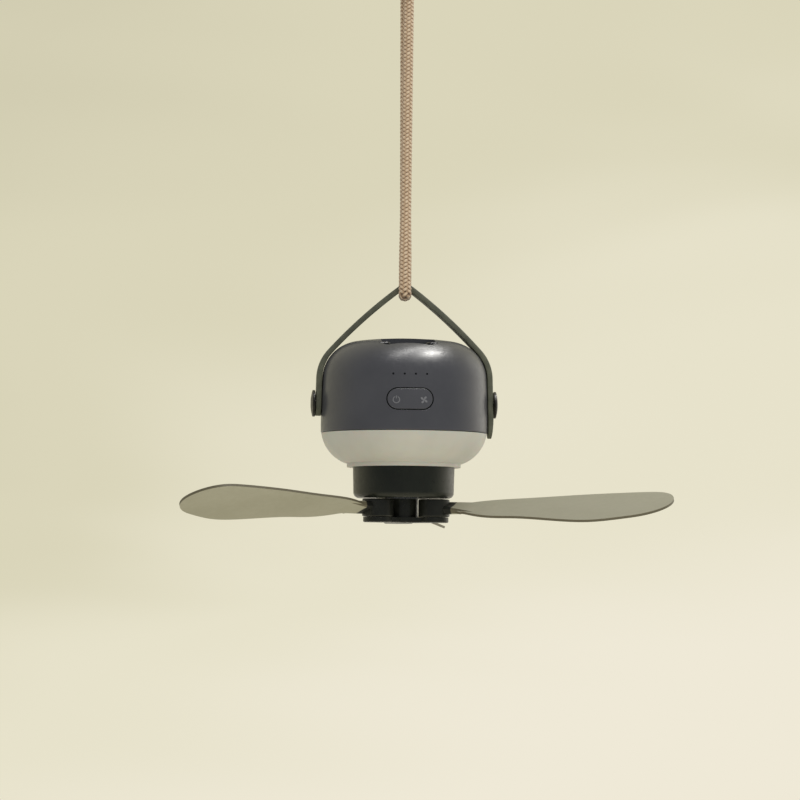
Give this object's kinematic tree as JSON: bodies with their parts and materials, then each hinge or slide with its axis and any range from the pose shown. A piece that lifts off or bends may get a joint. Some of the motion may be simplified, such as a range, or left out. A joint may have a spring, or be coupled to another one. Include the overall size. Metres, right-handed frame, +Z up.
{
  "type": "portable camping fan",
  "caption": "Hanging camping fan with a strap on side knobs, a domed battery housing, a lamp ring, a motor below it and folding paddle blades.",
  "frame": {"origin": "underside of the strap's top bend, where a rope or hook bears", "axes": "+Z up along the motor's axis, -Y out of the front with the button, +X to the right of a viewer at the front"},
  "size_m": [0.3212, 0.3049, 0.3934],
  "materials": {
    "strap": "matte band with a fine grain",
    "housing": "fine satin",
    "knob": "satin",
    "wire": "polished wire",
    "button": "fine satin",
    "pin": "ground",
    "circuit_board": "solder-masked laminate",
    "switch": "moulded",
    "light_guide": "clear moulding",
    "led": "phosphor cap",
    "socket": "drawn shell",
    "soft_cover": "soft matte",
    "cell": "shrink-wrapped can",
    "tray": "moulded",
    "chassis": "moulded, glass filled",
    "screw": "zinc plated",
    "diffuser": "frosted satin",
    "lamp_board": "white solder mask",
    "motor_case": "satin",
    "bearing": "ground rings",
    "lamination": "stacked sheet",
    "winding": "enamelled copper wire",
    "magnet": "plated",
    "bell": "deep drawn",
    "flange": "turned",
    "hub": "moulded, glass filled",
    "blade": "fine matte",
    "rope": "braided cord",
    "sleeve": "moulded",
    "ring": "bright wire"
  },
  "bodies": {
    "sling": {"strap": "strap", "rope": "rope", "rope_sleeve": "sleeve", "hanging_ring": "ring"},
    "fan_body": {"upper_housing": "housing", "knob_left": "knob", "knob_right": "knob", "button_pin": "pin", "control_board": "circuit_board", "tact_switches": "switch", "light_guide": "light_guide", "indicator_leds": "led", "usb_socket": "socket", "charge_board": "circuit_board", "battery_cells": "cell", "battery_tray": "tray", "battery_clip": "tray", "chassis": "chassis", "housing_screws": "screw", "diffuser": "diffuser", "lamp_board": "lamp_board", "lamp_leds": "led", "motor_housing": "motor_case", "motor_base": "chassis", "motor_screws": "screw", "motor_bearings": "bearing", "stator_core": "lamination", "stator_windings": "winding"},
    "stow_hook": {"stow_hook": "wire"},
    "mode_button": {"mode_button": "button"},
    "port_cover": {"port_cover": "soft_cover"},
    "rotor": {"rotor_magnets": "magnet", "rotor_bell": "bell", "motor_shaft": "pin", "rotor_flange": "flange", "hub_carrier": "hub", "hub_nut": "screw", "pivot_screws": "screw"},
    "blade_1": {"knuckle_1": "hub", "blade_1": "blade", "blade_pins_1": "pin"},
    "blade_2": {"knuckle_2": "hub", "blade_2": "blade", "blade_pins_2": "pin"},
    "blade_3": {"knuckle_3": "hub", "blade_3": "blade", "blade_pins_3": "pin"}
  },
  "joints": [
    {"name": "strap_tilt", "type": "hinge", "parent": "sling", "child": "fan_body", "pos_m": [0, 0, -0.0754], "axis": [1, 0, 0], "range_deg": [-10, 10]},
    {"name": "rotor_spin", "type": "hinge", "parent": "fan_body", "child": "rotor", "pos_m": [0, 0, -0.14405], "axis": [0, 0, 1], "continuous": true},
    {"name": "blade_fold_1", "type": "hinge", "parent": "rotor", "child": "blade_1", "pos_m": [0.01942, -0.00922, -0.14405], "axis": [0, 0, 1], "range_deg": [-90, 0]},
    {"name": "blade_fold_2", "type": "hinge", "parent": "rotor", "child": "blade_2", "pos_m": [-0.0177, -0.01221, -0.14405], "axis": [0, 0, 1], "range_deg": [-90, 0]},
    {"name": "blade_fold_3", "type": "hinge", "parent": "rotor", "child": "blade_3", "pos_m": [-0.00172, 0.02143, -0.14405], "axis": [0, 0, 1], "range_deg": [-77, 13]},
    {"name": "hook_lift", "type": "hinge", "parent": "fan_body", "child": "stow_hook", "pos_m": [0, -0.036, -0.0377], "axis": [1, 0, 0], "range_deg": [0, 100]},
    {"name": "button_rock", "type": "hinge", "parent": "fan_body", "child": "mode_button", "pos_m": [0, -0.0484, -0.0744], "axis": [0, 0, 1], "range_deg": [-2.5, 2.5], "stiffness_Nm_per_rad": 0.1},
    {"name": "cover_hinge", "type": "hinge", "parent": "fan_body", "child": "port_cover", "pos_m": [0, 0.0548, -0.0808], "axis": [-1, 0, 0], "range_deg": [0, 110]}
  ]
}
